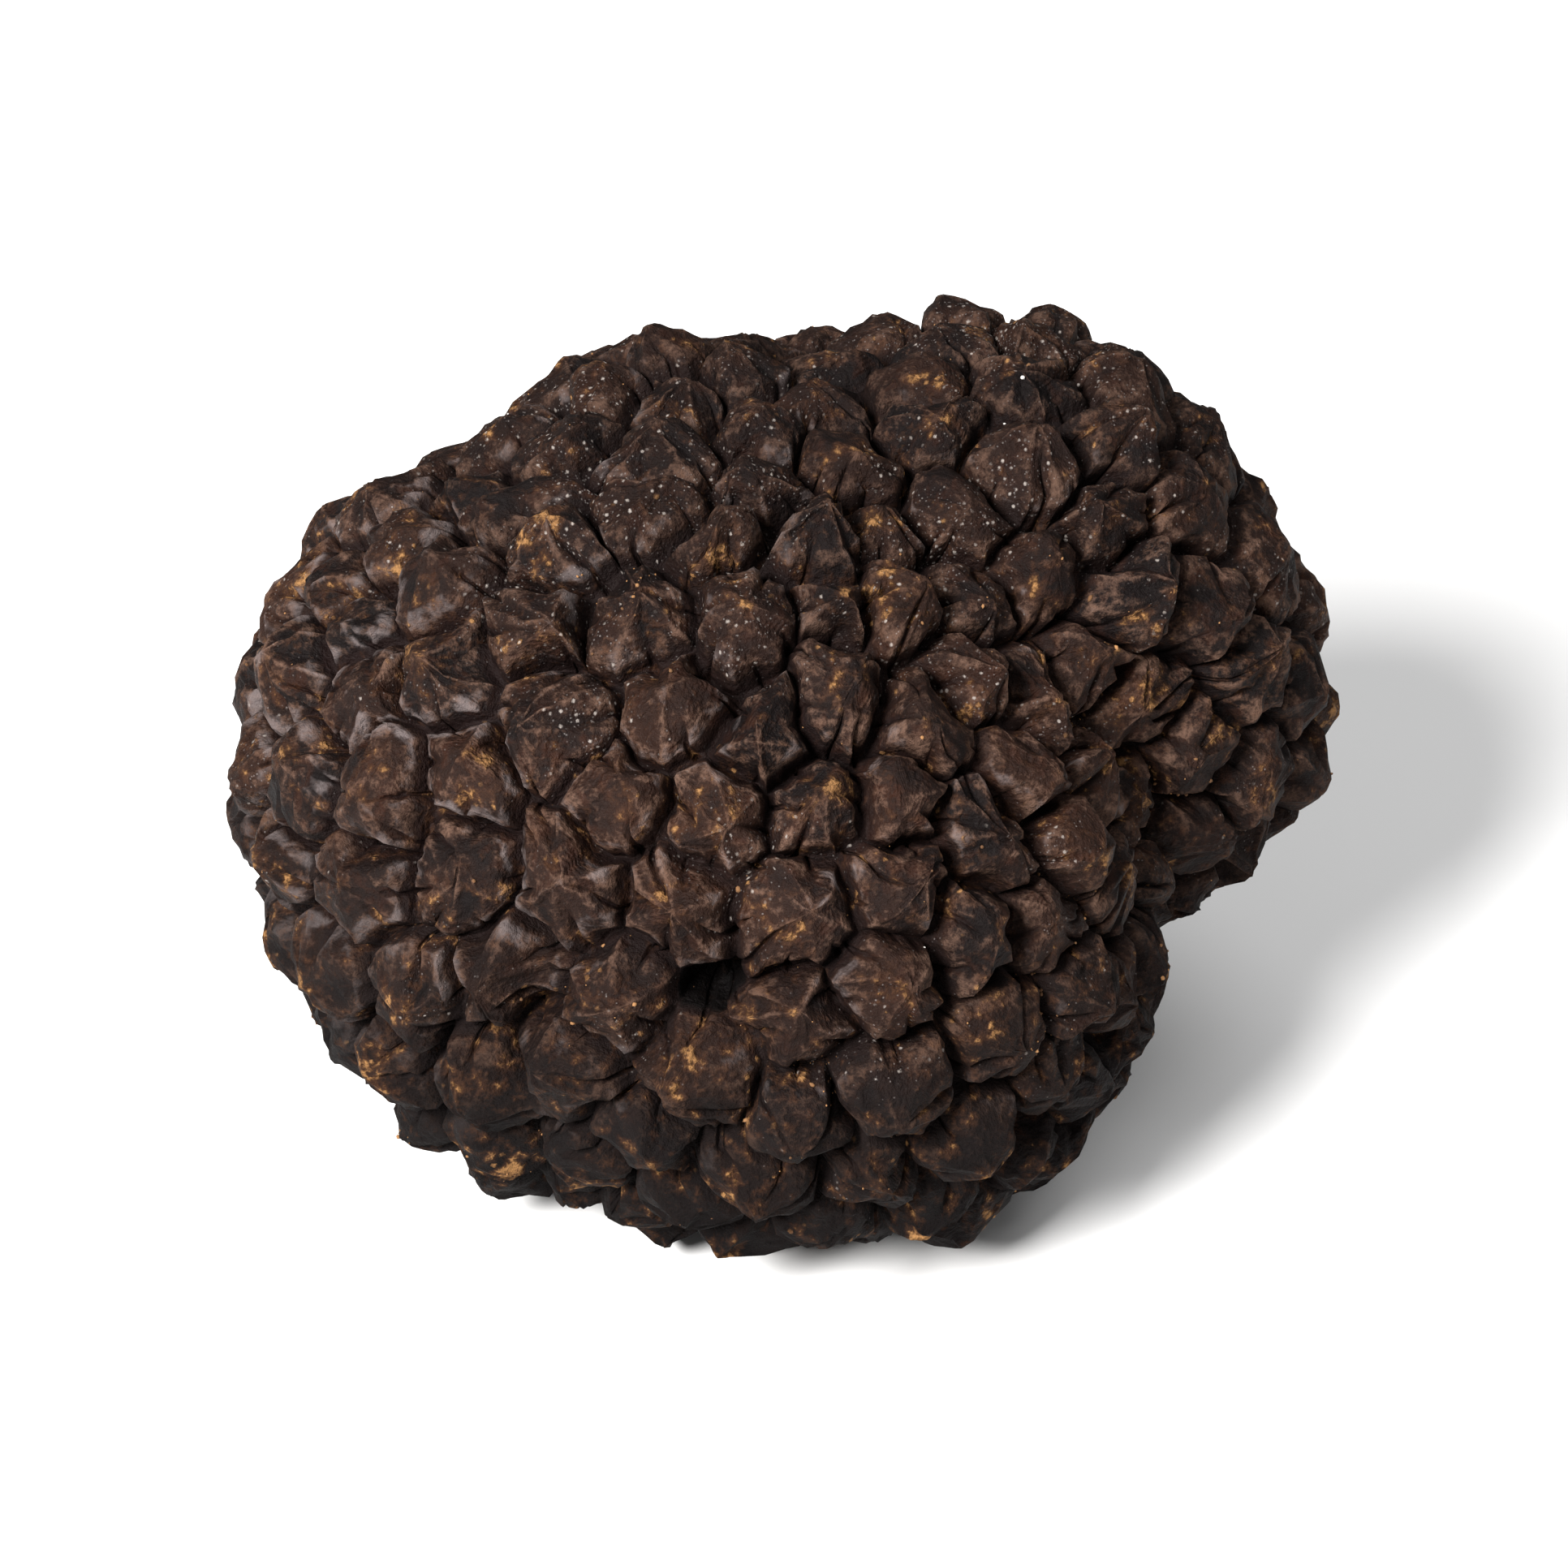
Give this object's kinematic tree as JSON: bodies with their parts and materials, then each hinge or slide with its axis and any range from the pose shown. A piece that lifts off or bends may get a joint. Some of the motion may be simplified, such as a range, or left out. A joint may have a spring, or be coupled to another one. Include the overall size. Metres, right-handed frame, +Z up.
{
  "type": "autumn truffle",
  "caption": "Whole dark truffle, a lobed round tuber covered in pyramidal warts with deep grooves between them, resting on worn wart tops.",
  "frame": {"origin": "middle of the bounding box seen from above, on the surface that the truffle rests on", "axes": "+X along the longest side, towards the smaller lobe; -Y towards the swollen front; +Z up"},
  "size_m": [0.053, 0.043, 0.0393],
  "materials": {
    "truffle_skin": "matte, brown-black, dusty"
  },
  "bodies": {
    "root": {"truffle": "truffle_skin"}
  },
  "joints": []
}
